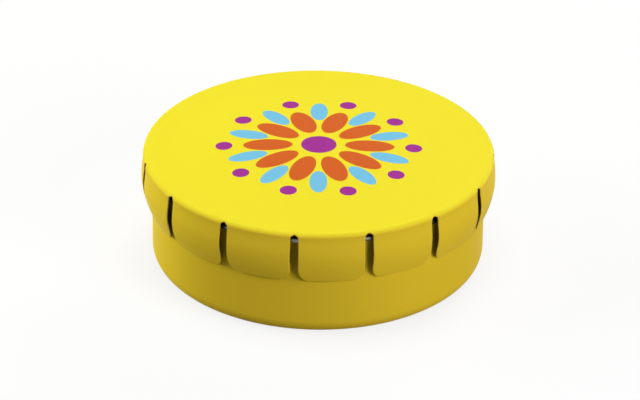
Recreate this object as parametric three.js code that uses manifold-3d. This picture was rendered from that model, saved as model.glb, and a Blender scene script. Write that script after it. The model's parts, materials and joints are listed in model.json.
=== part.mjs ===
// A round snap-lid tin of lacquered tinplate, closed.
// The base is a drawn cup with a rolled rim.
// The lid is a rim, a domed panel that snaps in and a skirt of tongues.
// Millimetres, +Z up, the origin on the ground under the centre.
import * as THREE from "three";
import { mergeVertices } from "three/addons/utils/BufferGeometryUtils.js";
import Module from "manifold-3d";

// Sheet and overall height
const SHEET = 0.25;
const RIM_HEIGHT = 15.24;

// Base cup
const WALL_RADIUS = 21.63;
const CORNER_RADIUS = 2;
const FOOT_WIDTH = 2.6;
const FOOT_STEP_RUN = 0.8;
const BOTTOM_RECESS = 0.4;
const CURL_PROUD = 0.45;
const CURL_HEIGHT = 0.7;

// Lid
const SEAT_CLEARANCE = 0.8;
const CURL_CLEARANCE = 0.45;
const LIP_CLEARANCE = 0.15;
const SHOULDER_RADIUS = 0.6;
const BULGE_PROUD = 0.22;
const BULGE_DEPTH = 3.23;
const SKIRT_DEPTH = 7.13;
const PANEL_CLEARANCE = 0.48;
const PANEL_GAP = 0.3;
const DOME_RISE = 0.7;

// Tongues of the skirt
const TONGUE_COUNT = 15;
const SLIT_WIDTH = 1.02;
const LIP_CORNER_WIDTH = 1.4;
const LIP_CORNER_HEIGHT = 2.1;
const ROOT_DROP = 0.13;
const ROOT_GAP = 0.05;
const FIRST_TONGUE_TURN = THREE.MathUtils.degToRad(4.6);

// Facets
const FACETS_PER_TONGUE = 4;
const BEND_STEPS = 5;
const CURL_STEPS = 8;
const SKIRT_STEPS = 4;
const DOME_STEPS = 8;
const NOTCH_FACETS = 16;

// Sizes that follow from these
const FACETS = TONGUE_COUNT * FACETS_PER_TONGUE;
const PITCH = (2 * Math.PI) / TONGUE_COUNT;
const MOUTH_RADIUS = WALL_RADIUS - SHEET;
const BASE_HEIGHT = RIM_HEIGHT - SHEET - SEAT_CLEARANCE;
const LIP_RADIUS = WALL_RADIUS + LIP_CLEARANCE + SHEET;
const LIP_Z = RIM_HEIGHT - SKIRT_DEPTH;
const SHOULDER_OUTER = WALL_RADIUS + CURL_PROUD + CURL_CLEARANCE + SHEET;
const SHOULDER_Z = RIM_HEIGHT - SHOULDER_RADIUS;
const ROOT_Z = SHOULDER_Z - ROOT_DROP;
const BULGE_RADIUS = SHOULDER_OUTER + BULGE_PROUD;
const BULGE_Z = RIM_HEIGHT - BULGE_DEPTH;
const PANEL_RADIUS = MOUTH_RADIUS - PANEL_CLEARANCE;
const TONGUE_HALF_WIDTH = SHOULDER_OUTER * Math.sin((PITCH - SLIT_WIDTH / SHOULDER_OUTER) / 2);

const wasm = await Module();
wasm.setup();

function lacquer(colour) {
  return new THREE.MeshStandardMaterial({ color: colour, roughness: 0.35, metalness: 0.1 });
}

// Points on an upright ellipse arc, both ends included
function arc(centreX, centreY, radiusX, radiusY, from, to, steps) {
  return Array.from({ length: steps + 1 }, (_, i) => {
    const angle = from + ((to - from) * i) / steps;
    return new THREE.Vector2(centreX + radiusX * Math.cos(angle), centreY + radiusY * Math.sin(angle));
  });
}

// A section of (radius, height) points, taken anticlockwise, turned about +Z
function turned(section) {
  const geometry = new THREE.LatheGeometry(section, FACETS);
  return geometry.rotateX(Math.PI / 2);
}

function closed(section) {
  return [...section, section[0].clone()];
}

// Solids for joining and cutting
function solid(geometry) {
  const bare = geometry.clone();
  bare.deleteAttribute("normal");
  bare.deleteAttribute("uv");
  const merged = mergeVertices(bare, 1e-4);
  const corners = merged.index.array;
  const triangles = [];
  for (let i = 0; i < corners.length; i += 3) {
    const [a, b, c] = corners.subarray(i, i + 3);
    if (a !== b && b !== c && c !== a) {
      triangles.push(a, b, c);
    }
  }
  const mesh = new wasm.Mesh({
    numProp: 3,
    vertProperties: merged.attributes.position.array,
    triVerts: new Uint32Array(triangles),
  });
  return new wasm.Manifold(mesh);
}

function geometryOf(manifold) {
  const mesh = manifold.getMesh();
  const geometry = new THREE.BufferGeometry();
  geometry.setAttribute("position", new THREE.BufferAttribute(mesh.vertProperties, 3));
  geometry.setIndex(new THREE.BufferAttribute(mesh.triVerts, 1));
  geometry.computeVertexNormals();
  return geometry;
}

// The drawn cup: recessed bottom, standing ring, rounded edge, straight wall and rolled rim
function baseCup() {
  const ringOuter = WALL_RADIUS - CORNER_RADIUS;
  const ringInner = ringOuter - FOOT_WIDTH;
  const recessEdge = ringInner - FOOT_STEP_RUN;
  const hollowRadius = CORNER_RADIUS - SHEET;
  const curlHalfWidth = (CURL_PROUD + SHEET) / 2;
  const curlHalfHeight = CURL_HEIGHT / 2;
  const curlCentre = MOUTH_RADIUS + curlHalfWidth;
  const curlZ = BASE_HEIGHT - curlHalfHeight;
  const curlStart = -Math.acos((WALL_RADIUS - curlCentre) / curlHalfWidth);
  const section = [
    new THREE.Vector2(0, BOTTOM_RECESS),
    new THREE.Vector2(recessEdge, BOTTOM_RECESS),
    new THREE.Vector2(ringInner, 0),
    ...arc(ringOuter, CORNER_RADIUS, CORNER_RADIUS, CORNER_RADIUS, -Math.PI / 2, 0, BEND_STEPS),
    ...arc(curlCentre, curlZ, curlHalfWidth, curlHalfHeight, curlStart, Math.PI, CURL_STEPS),
    ...arc(ringOuter, CORNER_RADIUS, hollowRadius, hollowRadius, 0, -Math.PI / 2, BEND_STEPS),
    new THREE.Vector2(ringInner, SHEET),
    new THREE.Vector2(recessEdge, BOTTOM_RECESS + SHEET),
    new THREE.Vector2(0, BOTTOM_RECESS + SHEET),
  ];
  return turned(section);
}

// The flat rim and rounded shoulder, with a round notch where each slit ends
function lidRim() {
  const bendRadius = SHOULDER_OUTER - SHOULDER_RADIUS;
  const inner = PANEL_RADIUS + PANEL_GAP;
  const innerBend = SHOULDER_RADIUS - SHEET;
  const rootRadius = skirtRadius(ROOT_Z);
  const section = [
    new THREE.Vector2(inner, RIM_HEIGHT - SHEET),
    ...arc(bendRadius, SHOULDER_Z, innerBend, innerBend, Math.PI / 2, 0, BEND_STEPS),
    new THREE.Vector2(rootRadius - SHEET, ROOT_Z),
    new THREE.Vector2(rootRadius, ROOT_Z),
    ...arc(bendRadius, SHOULDER_Z, SHOULDER_RADIUS, SHOULDER_RADIUS, 0, Math.PI / 2, BEND_STEPS),
    new THREE.Vector2(inner, RIM_HEIGHT),
  ];
  let rim = solid(turned(closed(section)));
  const notchLength = 2 * SHOULDER_RADIUS;
  for (let i = 0; i < TONGUE_COUNT; i++) {
    const notch = new THREE.CylinderGeometry(SLIT_WIDTH / 2, SLIT_WIDTH / 2, notchLength, NOTCH_FACETS);
    notch.translate(0, -SHOULDER_OUTER, ROOT_Z);
    notch.rotateZ((i + 0.5) * PITCH);
    rim = rim.subtract(solid(notch));
  }
  return geometryOf(rim);
}

// The domed centre of the lid, level at its edge and of even thickness
function snapPanel() {
  const top = Array.from({ length: DOME_STEPS + 1 }, (_, i) => {
    const share = 1 - i / DOME_STEPS;
    return new THREE.Vector2(PANEL_RADIUS * share, RIM_HEIGHT + DOME_RISE * (1 - share ** 2) ** 2);
  });
  const under = top.map((point) => new THREE.Vector2(point.x, point.y - SHEET)).reverse();
  return turned([...under, ...top]);
}

// Outer radius of the skirt at a height: widest at the bulge, and drawn in under the rolled rim to the lip
function skirtRadius(z) {
  if (z > BULGE_Z) {
    return BULGE_RADIUS - BULGE_PROUD * THREE.MathUtils.smoothstep(z, BULGE_Z, SHOULDER_Z);
  }
  return BULGE_RADIUS - (BULGE_RADIUS - LIP_RADIUS) * ((BULGE_Z - z) / (BULGE_Z - LIP_Z)) ** 2;
}

// One tongue, facing -Y: the skirt's ring, kept inside an outline with rounded lower corners
function tongue() {
  const tops = [ROOT_Z - ROOT_GAP, BULGE_Z, LIP_Z];
  const heights = [];
  for (let span = 0; span < 2; span++) {
    for (let i = 0; i < SKIRT_STEPS; i++) {
      heights.push(THREE.MathUtils.lerp(tops[span], tops[span + 1], i / SKIRT_STEPS));
    }
  }
  heights.push(LIP_Z);
  const inside = heights.map((z) => new THREE.Vector2(skirtRadius(z) - SHEET, z));
  const outside = heights.map((z) => new THREE.Vector2(skirtRadius(z), z)).reverse();
  const ring = solid(turned(closed([...inside, ...outside])));

  const side = TONGUE_HALF_WIDTH - LIP_CORNER_WIDTH;
  const cornerZ = LIP_Z + LIP_CORNER_HEIGHT;
  const outline = new THREE.Shape([
    new THREE.Vector2(TONGUE_HALF_WIDTH, RIM_HEIGHT),
    new THREE.Vector2(-TONGUE_HALF_WIDTH, RIM_HEIGHT),
    ...arc(-side, cornerZ, LIP_CORNER_WIDTH, LIP_CORNER_HEIGHT, Math.PI, 1.5 * Math.PI, BEND_STEPS),
    ...arc(side, cornerZ, LIP_CORNER_WIDTH, LIP_CORNER_HEIGHT, -Math.PI / 2, 0, BEND_STEPS),
  ]);
  const prism = new THREE.ExtrudeGeometry(outline, { depth: 2 * WALL_RADIUS, bevelEnabled: false });
  prism.rotateX(Math.PI / 2);
  return geometryOf(ring.intersect(solid(prism)));
}

function piece(name, geometry, material) {
  const mesh = new THREE.Mesh(geometry, material);
  mesh.name = name;
  return mesh;
}

const tin = new THREE.Group();
const facing = new THREE.Group();
facing.rotation.z = FIRST_TONGUE_TURN;
tin.add(facing);
facing.add(piece("base_cup", baseCup(), lacquer(0xe3cf2c)));
facing.add(piece("lid_rim", lidRim(), lacquer(0xf4e438)));
facing.add(piece("snap_panel", snapPanel(), lacquer(0xf4e438)));
const tongueShape = tongue();
for (let i = 0; i < TONGUE_COUNT; i++) {
  const name = `tongue_${String(i + 1).padStart(2, "0")}`;
  const mesh = piece(name, tongueShape, lacquer(0xecd932));
  mesh.rotation.z = i * PITCH;
  facing.add(mesh);
}

export default tin;
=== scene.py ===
# Looks of a closed round snap-lid tin of tinplate: yellow lacquer outside, bare inside, with the tongues'
# insides and the base's rolled rim darkened as painted shade.
import json
import math
import random

import bpy
import numpy as np
from mathutils import Matrix, Vector


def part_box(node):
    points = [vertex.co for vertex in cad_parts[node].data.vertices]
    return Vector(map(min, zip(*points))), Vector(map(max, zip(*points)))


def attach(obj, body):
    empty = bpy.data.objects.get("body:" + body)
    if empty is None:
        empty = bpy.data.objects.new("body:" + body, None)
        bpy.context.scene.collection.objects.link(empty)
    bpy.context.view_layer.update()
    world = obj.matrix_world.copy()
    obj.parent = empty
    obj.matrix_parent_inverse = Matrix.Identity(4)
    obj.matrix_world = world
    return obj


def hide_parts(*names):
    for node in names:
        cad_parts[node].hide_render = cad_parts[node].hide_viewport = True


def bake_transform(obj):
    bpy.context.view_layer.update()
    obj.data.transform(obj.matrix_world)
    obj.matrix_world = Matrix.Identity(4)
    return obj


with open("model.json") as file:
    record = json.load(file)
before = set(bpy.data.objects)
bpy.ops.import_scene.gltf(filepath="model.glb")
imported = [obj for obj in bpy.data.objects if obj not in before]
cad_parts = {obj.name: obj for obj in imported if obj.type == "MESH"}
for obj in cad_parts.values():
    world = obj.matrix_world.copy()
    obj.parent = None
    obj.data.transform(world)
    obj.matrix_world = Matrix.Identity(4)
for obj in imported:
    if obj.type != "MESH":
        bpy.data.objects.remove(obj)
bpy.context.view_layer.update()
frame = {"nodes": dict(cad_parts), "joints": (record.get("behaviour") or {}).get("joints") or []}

MM = 0.001


def reach(node):
    """Largest distance of a CAD node from the tin's axis."""
    return max(math.hypot(v.co.x, v.co.y) for v in frame["nodes"][node].data.vertices)


# Sizes read from the frame
FLEXES = [j for j in frame["joints"] if j["name"].endswith("_flex")]
PITCH = 2 * math.pi / len(FLEXES)
ROOT_RADIUS = math.hypot(*FLEXES[0]["pos_m"][:2])
ROOT_Z = FLEXES[0]["pos_m"][2]
RIM_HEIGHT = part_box("lid_rim")[1].z
DOME_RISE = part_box("snap_panel")[1].z - RIM_HEIGHT
PANEL_RADIUS = reach("snap_panel")
LIP_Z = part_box("tongue_01")[0].z
BULGE_RADIUS = reach("tongue_01")
BASE_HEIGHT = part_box("base_cup")[1].z
CURL_RADIUS = reach("base_cup")

# Sizes of the sheet and of its details
SHEET = 0.25 * MM
EDGE = SHEET / 2
CURL_PROUD = 0.45 * MM
CURL_HEIGHT = 0.7 * MM
CORNER_RADIUS = 2 * MM
FOOT_WIDTH = 2.6 * MM
FOOT_STEP_RUN = 0.8 * MM
BOTTOM_RECESS = 0.4 * MM
SHOULDER_RADIUS = 0.6 * MM
BULGE_DEPTH = 3.23 * MM
LIP_CLEARANCE = 0.15 * MM
SLIT_WIDTH = 1.02 * MM
LIP_CORNER_WIDTH = 1.4 * MM
LIP_CORNER_HEIGHT = 2.1 * MM

# Small differences between the tongues
LIP_SCATTER = 0.03 * MM
SET_SCATTER = 0.02 * MM
SCATTER_SEED = 7

# Sizes that follow from these
WALL_RADIUS = CURL_RADIUS - CURL_PROUD
LIP_RADIUS = WALL_RADIUS + LIP_CLEARANCE + SHEET
SHOULDER_Z = RIM_HEIGHT - SHOULDER_RADIUS
BULGE_Z = RIM_HEIGHT - BULGE_DEPTH
BEND_RADIUS = ROOT_RADIUS - SHOULDER_RADIUS
HALF_WIDTH = ROOT_RADIUS * math.sin((PITCH - SLIT_WIDTH / ROOT_RADIUS) / 2)
LIP_SIDE = HALF_WIDTH - LIP_CORNER_WIDTH
MIDDLES = [math.atan2(j["pos_m"][1], j["pos_m"][0]) for j in FLEXES]

# Fineness of the meshes
TURN_STEPS = 240
ARC_STEPS = 14
LINE_STEPS = 4
CORNER_STEPS = 8
MIDDLE_STEPS = 14
NOTCH_STEPS = 12
SKIRT_STEPS = 24
DOME_STEPS = 28
EDGE_STEPS = 6
MERGE = 1e-7

# Faces of the sheet by their place in a piece's list of materials
OUTSIDE = 0
INSIDE = 1
ROLLED_RIM = 2


class Shell:
    """Gathers grids of points with their normals into one mesh whose grids share their vertices."""

    def __init__(self):
        self.points = []
        self.normals = []
        self.faces = []
        self.finishes = []
        self.worn = []
        self.count = 0

    def take(self, points, normals):
        """Keeps points and normals, and gives the number of the first."""
        first = self.count
        self.points.append(points.reshape(-1, 3))
        self.normals.append(normals.reshape(-1, 3))
        self.count += len(self.points[-1])
        return first

    def grid(self, points, normals, finish, worn=0.0):
        """Rows and columns of points, joined by four-sided faces that look along the normals."""
        rows, columns = points.shape[:2]
        numbers = self.take(points, normals) + np.arange(rows * columns).reshape(rows, columns)
        here, beyond = slice(None, -1), slice(1, None)
        around = (here, here), (here, beyond), (beyond, beyond), (beyond, here)
        quads = np.stack([numbers[part] for part in around], -1).reshape(-1, 4)
        corner = [points[part].reshape(-1, 3) for part in around]
        facing = sum(normals[part].reshape(-1, 3) for part in around)
        turn = np.cross(corner[2] - corner[0], corner[3] - corner[1])
        backwards = (turn * facing).sum(-1) < 0
        quads[backwards] = quads[backwards, ::-1]
        self.faces.extend(quads.tolist())
        self.finishes.extend([finish] * len(quads))
        self.worn.append(np.broadcast_to(worn, (rows, columns)).ravel())

    def cap(self, points, normal, finish):
        """One flat face through all the points."""
        first = self.take(points, np.broadcast_to(normal, points.shape))
        numbers = list(range(first, self.count))
        middle = points[len(points) // 2]
        if np.dot(np.cross(middle - points[0], points[-1] - middle), normal) < 0:
            numbers.reverse()
        self.faces.append(numbers)
        self.finishes.append(finish)
        self.worn.append(np.zeros(len(points)))

    def build(self, name, materials):
        """The piece, with points that fall together made one and faces without width left out."""
        points, normals = np.concatenate(self.points), np.concatenate(self.normals)
        keys = np.round(points / MERGE).astype(np.int64)
        first, same = np.unique(keys, axis=0, return_index=True, return_inverse=True)[1:]
        same = same.ravel().tolist()
        faces, corners, finishes = [], [], []
        for numbers, finish in zip(self.faces, self.finishes):
            kept = [n for n, before in zip(numbers, numbers[-1:] + numbers) if same[n] != same[before]]
            if len(kept) > 2:
                faces.append([same[n] for n in kept])
                corners.extend(kept)
                finishes.append(finish)
        mesh = bpy.data.meshes.new(name)
        mesh.from_pydata(points[first], [], faces, shade_flat=False)
        mesh.polygons.foreach_set("material_index", finishes)
        for material in materials:
            mesh.materials.append(material)
        worn = mesh.attributes.new("edge_wear", "FLOAT", "POINT")
        worn.data.foreach_set("value", np.concatenate(self.worn)[first].astype(np.float32))
        mesh.normals_split_custom_set(normals[corners])
        mesh.update()
        piece = bpy.data.objects.new(name, mesh)
        bpy.context.scene.collection.objects.link(piece)
        return piece


def smooth_step(share):
    """An even step from 0 to 1 and its slope, which is level at both ends."""
    return share ** 2 * (3 - 2 * share), 6 * share * (1 - share)


def turned(radius, angle, z, out, up):
    """Points and unit normals on a turned surface; out and up are the normal's parts in its section."""
    radius, angle, z, out, up = np.broadcast_arrays(radius, angle, z, out, up)
    length = np.hypot(out, up)
    around = np.stack([np.cos(angle), np.sin(angle), np.zeros_like(angle)], -1)
    points = around * radius[..., None]
    points[..., 2] = z
    normals = around * (out / length)[..., None]
    normals[..., 2] = up / length
    return points, normals


def half_round(points, normals, outward):
    """A rounded cut edge beside a row of points on the outer face, as a grid from outer to inner face."""
    swing = np.linspace(0, math.pi, EDGE_STEPS + 1)[:, None, None]
    around = np.cos(swing) * normals + np.sin(swing) * outward
    return points - normals * EDGE + around * EDGE, around


def outward_of(points, normals):
    """Directions in the sheet that lead off it, to the right of the way the row of points runs."""
    along = np.gradient(points, axis=0)
    across = np.cross(along, normals)
    return across / np.linalg.norm(across, axis=-1, keepdims=True)


def cut_edge(shell, points, normals):
    """Adds the rounded cut edge along a row of outer points: lacquered outside; inside it takes the
    piece's inside finish, bare tin on the lid top and tin darkened as painted shade on the tongues.
    """
    edge, facing = half_round(points, normals, outward_of(points, normals))
    half = EDGE_STEPS // 2
    shell.grid(edge[:half + 1], facing[:half + 1], OUTSIDE, worn=1.0)
    shell.grid(edge[half:], facing[half:], INSIDE)
    return edge


# Lid


def skirt_section(z):
    """Outer radius of the skirt at a height, and how it changes with height."""
    over, under = BULGE_RADIUS - ROOT_RADIUS, BULGE_RADIUS - LIP_RADIUS
    rise, fall = SHOULDER_Z - BULGE_Z, BULGE_Z - LIP_Z
    up, up_slope = smooth_step(np.clip((z - BULGE_Z) / rise, 0, 1))
    down = np.maximum(BULGE_Z - z, 0) / fall
    radius = BULGE_RADIUS - over * up - under * down ** 2
    slope = 2 * under * down / fall - over * up_slope / rise
    return radius, slope


def shoulder_section(way):
    """Radius, height and normal where the lid turns down, by the way along it from the bend's foot."""
    foot_radius, foot_slope = skirt_section(SHOULDER_Z + np.minimum(way, 0))
    swing = np.maximum(way, 0) / SHOULDER_RADIUS
    bend = way > 0
    radius = np.where(bend, BEND_RADIUS + SHOULDER_RADIUS * np.cos(swing), foot_radius)
    z = SHOULDER_Z + np.where(bend, SHOULDER_RADIUS * np.sin(swing), way)
    return radius, z, np.where(bend, np.cos(swing), 1), np.where(bend, np.sin(swing), -foot_slope)


def tongue_columns():
    """Chords of the grid columns across a tongue, close together round its lower corners."""
    swing = np.linspace(0, math.pi / 2, CORNER_STEPS + 1)
    corner = LIP_SIDE + (LIP_CORNER_WIDTH - EDGE) * np.sin(swing)
    middle = np.linspace(-LIP_SIDE, LIP_SIDE, MIDDLE_STEPS + 1)
    return np.concatenate([-corner[:0:-1], middle, corner[1:]])


def tongue_piece(name, middle, scatter, materials):
    """One spring tongue of the skirt: a bulged strip with rounded lower corners and cut edges."""
    chords = tongue_columns()
    lip = LIP_Z + scatter.uniform(-LIP_SCATTER, LIP_SCATTER)
    bend = scatter.uniform(-SET_SCATTER, SET_SCATTER)
    past_side = np.maximum(np.abs(chords) - LIP_SIDE, 0) / (LIP_CORNER_WIDTH - EDGE)
    corner_drop = np.sqrt(np.maximum(1 - past_side ** 2, 0))
    low = lip + LIP_CORNER_HEIGHT - (LIP_CORNER_HEIGHT - EDGE) * corner_drop
    share = np.linspace(0, 1, SKIRT_STEPS + 1)[:, None]
    z = low + (ROOT_Z - low) * share
    radius, slope = skirt_section(z)
    depth = ROOT_Z - LIP_Z
    radius = radius + bend * ((ROOT_Z - z) / depth) ** 2
    slope = slope - 2 * bend * (ROOT_Z - z) / depth ** 2
    points, normals = turned(radius, middle + np.arcsin(chords / radius), z, 1, -slope)
    inner = points - normals * SHEET

    shell = Shell()
    shell.grid(points, normals, OUTSIDE)
    shell.grid(inner, -normals, INSIDE)
    rim = np.concatenate([points[:0:-1, 0], points[0], points[1:, -1]])
    rim_normals = np.concatenate([normals[:0:-1, 0], normals[0], normals[1:, -1]])
    edge = cut_edge(shell, rim, rim_normals)
    up = np.broadcast_to((0, 0, 1), (2,) + chords.shape + (3,))
    shell.grid(np.stack([points[-1], inner[-1]]), up, INSIDE)
    shell.cap(edge[:, 0], (0, 0, 1), INSIDE)
    shell.cap(edge[:, -1], (0, 0, 1), INSIDE)
    return shell.build(name, materials)


def lid_columns(middles):
    """Angles of the lid's grid columns and the height of its lower edge there, notched at each slit."""
    seam_radius = skirt_section(ROOT_Z)[0]
    across = np.arcsin(tongue_columns() / seam_radius)
    notch_half = PITCH / 2 - across[-1]
    swing = np.linspace(-math.pi / 2, math.pi / 2, NOTCH_STEPS + 1)[1:-1]
    angles, low = [], []
    for middle in middles:
        angles += [middle + across, middle + PITCH / 2 + notch_half * np.sin(swing)]
        low += [np.full(across.shape, ROOT_Z), ROOT_Z + seam_radius * notch_half * np.cos(swing)]
    return np.concatenate(angles), np.concatenate(low)


def lid_top_piece(name, middles, materials):
    """Dome, flat rim and shoulder of the lid in one sheet, with a rounded notch over each slit."""
    angles, low = lid_columns(middles)
    angles, low = np.append(angles, angles[0] + 2 * math.pi), np.append(low, low[0])
    over = low - SHOULDER_Z
    start = np.where(over > 0, SHOULDER_RADIUS * np.arcsin(np.maximum(over, 0) / SHOULDER_RADIUS), over)
    end = SHOULDER_RADIUS * math.pi / 2
    way = start + (end - start) * np.linspace(0, 1, ARC_STEPS + 1)[:, None]
    radius, z, out, up = shoulder_section(way)
    shoulder = turned(radius, angles, z, out, up)
    share = np.linspace(1, 0, DOME_STEPS + 1)[:, None]
    fall = 1 - share ** 2
    dome = turned(
        PANEL_RADIUS * share, angles, RIM_HEIGHT + DOME_RISE * fall ** 2,
        4 * DOME_RISE * share * fall / PANEL_RADIUS, 1)
    points = np.concatenate([shoulder[0], dome[0]])
    normals = np.concatenate([shoulder[1], dome[1]])
    inner = points - normals * SHEET

    shell = Shell()
    shell.grid(points, normals, OUTSIDE)
    shell.grid(inner, -normals, INSIDE)
    tongue_width = len(tongue_columns())
    step = tongue_width + NOTCH_STEPS - 1
    down = np.broadcast_to((0, 0, -1), (2, tongue_width, 3))
    for first in range(0, step * len(middles), step):
        seam = slice(first, first + tongue_width)
        shell.grid(np.stack([points[0, seam], inner[0, seam]]), down, INSIDE)
        notch = slice(first + tongue_width - 1, first + step + 1)
        edge = cut_edge(shell, points[0, notch], normals[0, notch])
        shell.cap(edge[:, 0], (0, 0, -1), INSIDE)
        shell.cap(edge[:, -1], (0, 0, -1), INSIDE)
    return shell.build(name, materials)


def snap_through(piece):
    """Bakes the lid top's placement into its mesh."""
    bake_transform(piece)


# Base


def line(start, end):
    """Section points and normals on a straight stretch, the normal to the right of its way."""
    points = np.linspace(start, end, LINE_STEPS + 1)
    way = np.subtract(end, start)
    return points, np.broadcast_to((way[1], -way[0]), points.shape)


def arc(centre, radii, start, end, side=1):
    """Section points and normals on an ellipse arc; side is -1 where its hollow face shows."""
    swing = np.linspace(start, end, ARC_STEPS + 1)
    turn = np.stack([np.cos(swing), np.sin(swing)], -1)
    return np.array(centre) + turn * radii, side * turn / radii


def step_down(start, end, side):
    """Section points and normals on a smooth step; side is -1 seen from below and 1 from above."""
    share = np.linspace(0, 1, ARC_STEPS + 1)
    run, rise = end[0] - start[0], end[1] - start[1]
    ease, ease_slope = smooth_step(share)
    slope = rise / run * ease_slope
    points = np.stack([start[0] + run * share, start[1] + rise * ease], -1)
    return points, side * np.stack([-slope, np.ones_like(slope)], -1)


def base_sections():
    """Stretches of the base's section with their finishes, from under the bottom round to the inside."""
    ring_outer = WALL_RADIUS - CORNER_RADIUS
    ring_inner = ring_outer - FOOT_WIDTH
    recess = ring_inner - FOOT_STEP_RUN
    curl_radii = ((CURL_PROUD + SHEET) / 2, CURL_HEIGHT / 2)
    curl_centre = (WALL_RADIUS - SHEET + curl_radii[0], BASE_HEIGHT - curl_radii[1])
    curl_start = -math.acos((WALL_RADIUS - curl_centre[0]) / curl_radii[0])
    curl = arc(curl_centre, curl_radii, curl_start, math.pi)
    corner = (ring_outer, CORNER_RADIUS)
    hollow = (CORNER_RADIUS - SHEET,) * 2
    outside = [
        line((0, BOTTOM_RECESS), (recess, BOTTOM_RECESS)),
        step_down((recess, BOTTOM_RECESS), (ring_inner, 0), -1),
        line((ring_inner, 0), (ring_outer, 0)),
        arc(corner, (CORNER_RADIUS,) * 2, -math.pi / 2, 0),
        line((WALL_RADIUS, CORNER_RADIUS), curl[0][0]),
    ]
    floor_z = BOTTOM_RECESS + SHEET
    inside = [
        line(curl[0][-1], (WALL_RADIUS - SHEET, CORNER_RADIUS)),
        arc(corner, hollow, 0, -math.pi / 2, -1),
        line((ring_outer, SHEET), (ring_inner, SHEET)),
        step_down((ring_inner, SHEET), (recess, floor_z), 1),
        line((recess, floor_z), (0, floor_z)),
    ]
    outer = [(section, OUTSIDE) for section in outside]
    inner = [(section, INSIDE) for section in inside]
    return outer + [(curl, ROLLED_RIM)] + inner


def base_piece(name, materials):
    """The drawn cup, turned from its section."""
    angles = np.linspace(0, 2 * math.pi, TURN_STEPS + 1)
    shell = Shell()
    for (section, normals), finish in base_sections():
        place, facing = section[:, None, :], normals[:, None, :]
        points, around = turned(place[..., 0], angles, place[..., 1], facing[..., 0], facing[..., 1])
        shell.grid(points, around, finish)
    return shell.build(name, materials)


# Colours
YELLOW = (0.905, 0.77, 0.031, 1)
# Deeper yellows mixed in where the lacquer stands upright: painted shade on the tin's sides
BASE_SIDE_SHADE = (0.91, 0.635, 0.032, 1)
LID_SIDE_SHADE = (0.93, 0.652, 0.034, 1)
TIN = (0.64, 0.63, 0.61, 1)
TIN_STAIN = (0.50, 0.49, 0.46, 1)
# Near-black tin: painted shade of the gap under the skirt, on the tongues' insides and the base's rolled
# rim
TIN_SHADE = (0.16, 0.15, 0.14, 1)
PURPLE = (0.366, 0.036, 0.305, 1)
ORANGE = (0.672, 0.127, 0.023, 1)
BLUE = (0.19, 0.546, 0.791, 1)

# Print
PETAL_COUNT = 10
PETAL_CENTRE = 6.6 * MM
PETAL_LENGTH = 6.4 * MM
PETAL_WIDTH = 3.0 * MM
LEAF_CENTRE = 9.6 * MM
LEAF_LENGTH = 5.2 * MM
LEAF_WIDTH = 2.3 * MM
DOT_CENTRE = 12.3 * MM
DOT_SIZE = 2.2 * MM
CORE_SIZE = 4.6 * MM
PRINT_SOFTNESS = 0.03
INK_GLOSS = 0.06

# Lacquer; the scale of each noise is in bumps per metre
# How level the surface must be to take the deeper yellow of the painted side shade
UPRIGHT_SHADE_SPAN = (0.95, 0.2)
CLOUD_SCALE = 45
CLOUD_SPAN = (0.35, 0.65)
CLOUD_SHARE = 0.06
SATIN_SCALE = 400
SATIN_SPAN = (0.3, 0.7)
SATIN_ROUGHNESS = (0.42, 0.48)
LACQUER_SPECULAR = 0.015
RUB_SCALE = 900
RUB_SPAN = (0.52, 0.66)
RUB_SHARE = 0.12
PEEL_SCALE = 2200
PEEL_DETAIL = 2.0
PEEL_STRENGTH = 0.08
PEEL_HEIGHT = 0.02 * MM

# Tinplate
GRAIN_STRETCH = (1, 0.04, 1)
GRAIN_SCALE = 5000
GRAIN_DETAIL = 4.0
GRAIN_SHADE = 0.9
GRAIN_STRENGTH = 0.1
GRAIN_HEIGHT = 0.01 * MM
SPOT_SCALE = 350
SPOT_SPAN = (0.4, 0.7)
SPOT_SHARE = 0.3
TIN_ROUGHNESS = (0.28, 0.4)

# Sockets of a Mix node that mixes colours
MIX_FACTOR = 0
MIX_A = 6
MIX_B = 7
MIX_RESULT = 2


def add_node(tree, kind, inputs=None, **settings):
    """A node with its settings and inputs, where an input is a constant or another node's output."""
    made = tree.nodes.new(kind)
    for key, value in settings.items():
        setattr(made, key, value)
    for key, value in (inputs or {}).items():
        if isinstance(value, bpy.types.NodeSocket):
            tree.links.new(value, made.inputs[key])
        else:
            made.inputs[key].default_value = value
    return made


def calc(tree, operation, *values):
    """Output of a Math node."""
    return add_node(tree, "ShaderNodeMath", dict(enumerate(values)), operation=operation).outputs[0]


def ramp(tree, value, span, to=(0.0, 1.0)):
    """A value taken smoothly from one span to another."""
    inputs = {"Value": value, "From Min": span[0], "From Max": span[1], "To Min": to[0], "To Max": to[1]}
    return add_node(tree, "ShaderNodeMapRange", inputs, interpolation_type="SMOOTHSTEP").outputs[0]


def mix_colour(tree, factor, a, b):
    """Output of a colour mix."""
    inputs = {MIX_FACTOR: factor, MIX_A: a, MIX_B: b}
    return add_node(tree, "ShaderNodeMix", inputs, data_type="RGBA").outputs[MIX_RESULT]


def noise(tree, place, scale, detail=3.0):
    """Noise over the surface."""
    inputs = {"Vector": place, "Scale": scale, "Detail": detail}
    return add_node(tree, "ShaderNodeTexNoise", inputs).outputs["Fac"]


def new_material(name):
    """A node material, its tree, its shader and the place on the piece in metres."""
    material = bpy.data.materials.new(name)
    material.use_nodes = True
    tree = material.node_tree
    place = add_node(tree, "ShaderNodeTexCoord").outputs["Object"]
    return material, tree, tree.nodes["Principled BSDF"], place


def length_of(tree, x, y):
    """Output for the length of a flat vector."""
    return calc(tree, "SQRT", calc(tree, "ADD", calc(tree, "POWER", x, 2), calc(tree, "POWER", y, 2)))


def bumped(tree, shader, height, strength, distance):
    """Gives a shader fine bumps, as high as the distance where the height output is 1."""
    inputs = {"Strength": strength, "Distance": distance, "Height": height}
    tree.links.new(add_node(tree, "ShaderNodeBump", inputs).outputs[0], shader.inputs["Normal"])


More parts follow.
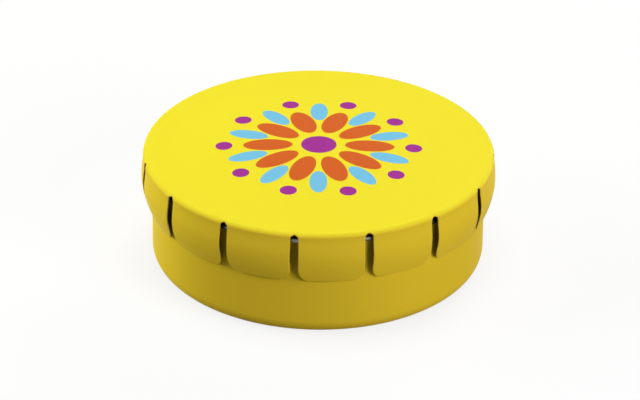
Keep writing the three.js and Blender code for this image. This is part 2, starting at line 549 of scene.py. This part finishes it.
def ring_of_ovals(tree, place, count, centre, length, width, turn=0.0):
    """Mask of ovals evenly spaced on a circle about the tin's axis, each pointing outwards."""
    x, y = add_node(tree, "ShaderNodeSeparateXYZ", {0: place}).outputs[:2]
    radius, angle = length_of(tree, x, y), calc(tree, "ARCTAN2", y, x)
    half = math.pi / count
    local = calc(tree, "WRAP", calc(tree, "ADD", angle, turn), half, -half)
    along = calc(tree, "SUBTRACT", calc(tree, "MULTIPLY", radius, calc(tree, "COSINE", local)), centre)
    across = calc(tree, "MULTIPLY", radius, calc(tree, "SINE", local))
    shares = calc(tree, "DIVIDE", along, length / 2), calc(tree, "DIVIDE", across, width / 2)
    return ramp(tree, length_of(tree, *shares), (1 + PRINT_SOFTNESS, 1 - PRINT_SOFTNESS))


def rosette(tree, place, ground):
    """A printed flower of ovals and dots over the ground colour; also where there is ink."""
    between = math.pi / PETAL_COUNT
    layers = [
        (ring_of_ovals(tree, place, PETAL_COUNT, LEAF_CENTRE, LEAF_LENGTH, LEAF_WIDTH, between), BLUE),
        (ring_of_ovals(tree, place, PETAL_COUNT, PETAL_CENTRE, PETAL_LENGTH, PETAL_WIDTH), ORANGE),
        (ring_of_ovals(tree, place, PETAL_COUNT, DOT_CENTRE, DOT_SIZE, DOT_SIZE), PURPLE),
        (ring_of_ovals(tree, place, 1, 0.0, CORE_SIZE, CORE_SIZE), PURPLE),
    ]
    colour, ink = ground, 0.0
    for mask, shade in layers:
        colour = mix_colour(tree, mask, colour, shade)
        ink = calc(tree, "MAXIMUM", mask, ink)
    return colour, ink


def lacquer(name, side_shade, printed=False):
    """Satin yellow lacquer with a fine peel and rubbed cut edges; upright walls are given a deeper yellow
    as painted shade, with a faint random cloud of tone.
    """
    material, tree, shader, place = new_material(name)
    facing = add_node(tree, "ShaderNodeTexCoord").outputs["Normal"]
    level = add_node(tree, "ShaderNodeSeparateXYZ", {0: facing}).outputs[2]
    cloud = calc(tree, "MULTIPLY", ramp(tree, noise(tree, place, CLOUD_SCALE), CLOUD_SPAN), CLOUD_SHARE)
    # Painted shade: the more upright the surface, the more of the deeper yellow, plus a faint random
    # cloud of tone
    side_shade_and_cloud = calc(tree, "ADD", ramp(tree, level, UPRIGHT_SHADE_SPAN), cloud)
    colour = mix_colour(tree, side_shade_and_cloud, YELLOW, side_shade)
    roughness = ramp(tree, noise(tree, place, SATIN_SCALE), SATIN_SPAN, SATIN_ROUGHNESS)
    if printed:
        colour, ink = rosette(tree, place, colour)
        roughness = calc(tree, "SUBTRACT", roughness, calc(tree, "MULTIPLY", ink, INK_GLOSS))
    worn = add_node(tree, "ShaderNodeAttribute", attribute_name="edge_wear").outputs["Fac"]
    patches = ramp(tree, noise(tree, place, RUB_SCALE), RUB_SPAN, (0.0, RUB_SHARE))
    rub = calc(tree, "MULTIPLY", worn, patches)
    tree.links.new(mix_colour(tree, rub, colour, TIN), shader.inputs["Base Color"])
    tree.links.new(rub, shader.inputs["Metallic"])
    tree.links.new(roughness, shader.inputs["Roughness"])
    shader.inputs["Specular IOR Level"].default_value = LACQUER_SPECULAR
    bumped(tree, shader, noise(tree, place, PEEL_SCALE, PEEL_DETAIL), PEEL_STRENGTH, PEEL_HEIGHT)
    return material


def tinplate(name, colour, stain):
    """Bare tinned steel with a faint rolling grain and dull spots."""
    material, tree, shader, place = new_material(name)
    stretched = add_node(tree, "ShaderNodeMapping", {"Vector": place, "Scale": GRAIN_STRETCH}).outputs[0]
    grain = noise(tree, stretched, GRAIN_SCALE, GRAIN_DETAIL)
    spots = ramp(tree, noise(tree, place, SPOT_SCALE), SPOT_SPAN)
    darker = tuple(GRAIN_SHADE * part for part in colour[:3]) + (1,)
    shade = mix_colour(tree, grain, darker, colour)
    dull = mix_colour(tree, calc(tree, "MULTIPLY", spots, SPOT_SHARE), shade, stain)
    tree.links.new(dull, shader.inputs["Base Color"])
    shader.inputs["Metallic"].default_value = 1.0
    tree.links.new(ramp(tree, spots, (0, 1), TIN_ROUGHNESS), shader.inputs["Roughness"])
    bumped(tree, shader, grain, GRAIN_STRENGTH, GRAIN_HEIGHT)
    return material


# The tin

bare = tinplate("bare_tinplate", TIN, TIN_STAIN)
# Painted shade: tin darkened where it sits in the gap under the skirt, on the tongues' insides and the
# base's rolled rim
shaded_tin = tinplate("tarnished_tinplate", TIN_SHADE, TIN_SHADE)
base_finishes = [lacquer("base_lacquer", BASE_SIDE_SHADE), bare, shaded_tin]
lid_finishes = [lacquer("lid_lacquer", LID_SIDE_SHADE, printed=True), bare]
skirt_finishes = [lacquer("skirt_lacquer", LID_SIDE_SHADE), shaded_tin]

base = base_piece("base_shell", base_finishes)
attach(base, "base")
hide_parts("base_cup")

lid_top = lid_top_piece("lid_top", MIDDLES, lid_finishes)
snap_through(lid_top)
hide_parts("lid_rim", "snap_panel")

scatter = random.Random(SCATTER_SEED)
for flex, middle in zip(FLEXES, MIDDLES):
    node = flex["child"]
    tongue = tongue_piece("skirt_" + node, middle, scatter, skirt_finishes)
    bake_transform(tongue)
    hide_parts(node)

# Stage
FLOOR_SIZE = 6.0
FLOOR_DROP = 0.01 * MM
FLOOR_GREY = (0.27, 0.27, 0.27, 1)
FLOOR_ROUGHNESS = 0.9
SHADOWED_WHITE = (0.95, 0.95, 0.95, 1)
GLOW_SHARE = (0.82, 1.0)
GLOW_REACH = (0.08, 0.5)
LEFT_TINT = (0.84, 1.0, 0.6)

# The photograph's view
VIEW_ELEVATION = math.radians(28.93)
VIEW_ROLL = math.radians(0.735)
VIEW_DISTANCE = 539.9 * MM
VIEW_CENTRE = Vector((0, 0, 7.62 * MM))
VIEW_OFFSET = (0.244 * MM, 0.068 * MM)
VIEW_LENS = 232.64
SENSOR_WIDTH = 36


def seen_directly(tree):
    """1 where a surface is seen by the camera, in a reflection or through glass."""
    path = add_node(tree, "ShaderNodeLightPath").outputs
    first = calc(tree, "MAXIMUM", path["Is Camera Ray"], path["Is Glossy Ray"])
    return calc(tree, "MAXIMUM", first, path["Is Transmission Ray"])


def white_floor():
    """A floor that throws a little light on the tin, and that looks white but keeps the shadow."""
    mesh = bpy.data.meshes.new("floor")
    half = FLOOR_SIZE / 2
    corners = [(x * half, y * half, -FLOOR_DROP) for x, y in ((-1, -1), (1, -1), (1, 1), (-1, 1))]
    mesh.from_pydata(corners, [], [(0, 1, 2, 3)])
    floor = bpy.data.objects.new("floor", mesh)
    bpy.context.scene.collection.objects.link(floor)
    material, tree, shader, place = new_material("white_floor")
    shader.inputs["Base Color"].default_value = FLOOR_GREY
    shader.inputs["Roughness"].default_value = FLOOR_ROUGHNESS
    shader.inputs["Specular IOR Level"].default_value = 0.0
    away = add_node(tree, "ShaderNodeVectorMath", {0: place}, operation="LENGTH").outputs["Value"]
    white = ramp(tree, away, GLOW_REACH, GLOW_SHARE)
    pale = add_node(tree, "ShaderNodeBsdfDiffuse", {"Color": SHADOWED_WHITE}).outputs[0]
    glow = add_node(tree, "ShaderNodeEmission", {"Strength": 1.0}).outputs[0]
    shown = add_node(tree, "ShaderNodeMixShader", {0: white, 1: pale, 2: glow}).outputs[0]
    both = add_node(tree, "ShaderNodeMixShader", {0: seen_directly(tree), 1: shader.outputs[0], 2: shown})
    tree.links.new(both.outputs[0], tree.nodes["Material Output"].inputs["Surface"])
    mesh.materials.append(material)


def white_world():
    """White where it is seen or reflected, and no other light on the tin."""
    world = bpy.data.worlds.new("white_world")
    world.use_nodes = True
    tree = world.node_tree
    sky = tree.nodes["Background"]
    sky.inputs["Color"].default_value = (1, 1, 1, 1)
    tree.links.new(seen_directly(tree), sky.inputs["Strength"])
    bpy.context.scene.world = world


def softbox(name, turn, height, away, size, power, tint=(1, 1, 1)):
    """A square lamp aimed at the tin; turn is to the right of the front and height is up, in degrees."""
    lamp = bpy.data.lights.new(name, "AREA")
    lamp.size = size
    lamp.energy = power
    lamp.color = tint
    holder = bpy.data.objects.new(name, lamp)
    a, e = math.radians(turn), math.radians(height)
    way = Vector((math.sin(a) * math.cos(e), -math.cos(a) * math.cos(e), math.sin(e)))
    holder.location = way * away
    holder.rotation_euler = (-way).to_track_quat("-Z", "Y").to_euler()
    holder.visible_camera = False
    bpy.context.scene.collection.objects.link(holder)


def camera():
    """A camera at the photograph's view: from the front, a little rolled, with a long lens."""
    back = Vector((0, -math.cos(VIEW_ELEVATION), math.sin(VIEW_ELEVATION)))
    level = Vector((1, 0, 0))
    rise = back.cross(level)
    right = level * math.cos(VIEW_ROLL) + rise * math.sin(VIEW_ROLL)
    up = rise * math.cos(VIEW_ROLL) - level * math.sin(VIEW_ROLL)
    seen = bpy.data.cameras.new("camera")
    seen.sensor_width = SENSOR_WIDTH
    seen.lens = VIEW_LENS
    holder = bpy.data.objects.new("camera", seen)
    place = VIEW_CENTRE + back * VIEW_DISTANCE + right * VIEW_OFFSET[0] + up * VIEW_OFFSET[1]
    turn = Matrix((right, up, back)).transposed().to_4x4()
    holder.matrix_world = Matrix.Translation(place) @ turn
    bpy.context.scene.collection.objects.link(holder)
    bpy.context.scene.camera = holder


white_floor()
white_world()
softbox("overhead", turn=0, height=90, away=0.6, size=0.3, power=1.52)
softbox("key", turn=47, height=24, away=0.55, size=0.3, power=1.75)
softbox("fill", turn=-90, height=24, away=0.55, size=0.3, power=1.38)
softbox("left_edge", turn=-120, height=12, away=0.5, size=0.25, power=1.1, tint=LEFT_TINT)
softbox("back", turn=150, height=25, away=0.55, size=0.3, power=1.3)
camera()
bpy.context.scene.view_settings.view_transform = "Standard"
